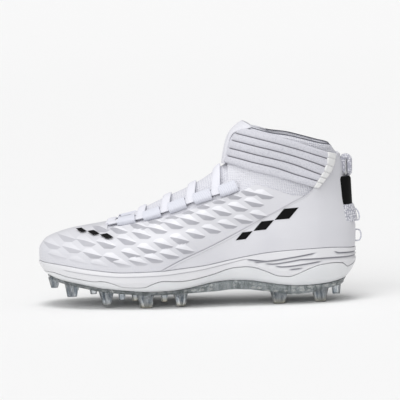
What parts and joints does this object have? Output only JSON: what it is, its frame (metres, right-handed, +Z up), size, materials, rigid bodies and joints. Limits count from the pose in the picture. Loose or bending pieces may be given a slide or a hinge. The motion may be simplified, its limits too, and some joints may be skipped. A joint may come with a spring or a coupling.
{
  "type": "american football cleat",
  "caption": "White mid-height american football cleat for the left foot: faceted upper, ribbed ankle strap, loop lacing, heel pull tab, clear studded outsole.",
  "frame": {"origin": "middle of the shoe's length and width, at the tips of its studs", "axes": "+X from the toe to the heel, +Y to the inner side of this left shoe, +Z up"},
  "size_m": [0.3066, 0.1016, 0.1718],
  "materials": {
    "knit_lining": "white spacer knit, matt",
    "moulded_skin": "white film moulded over the knit, satin",
    "white_webbing": "white woven and ribbed webbing, matt",
    "moulded_foam": "white moulded foam with a smooth skin",
    "clear_polyurethane": "clear moulded polyurethane, blue-grey over white",
    "black_rubber": "black moulded rubber, satin"
  },
  "bodies": {
    "root": {"upper": "knit_lining", "insole": "knit_lining", "midsole": "moulded_foam", "outsole": "clear_polyurethane", "tongue": "knit_lining", "vamp_panel": "moulded_skin", "quarter_overlay": "moulded_skin", "ankle_strap": "white_webbing", "strap_end_tab": "moulded_foam", "lace_loop_outer_1": "white_webbing", "lace_loop_outer_2": "white_webbing", "lace_loop_outer_3": "white_webbing", "lace_loop_outer_4": "white_webbing", "lace_loop_outer_5": "white_webbing", "lace_loop_inner_1": "white_webbing", "lace_loop_inner_2": "white_webbing", "lace_loop_inner_3": "white_webbing", "lace_loop_inner_4": "white_webbing", "lace_loop_inner_5": "white_webbing", "laces": "white_webbing", "pull_tab": "white_webbing", "pull_tab_sleeve": "black_rubber", "heel_cord_1": "white_webbing", "heel_cord_2": "white_webbing"}
  },
  "joints": []
}
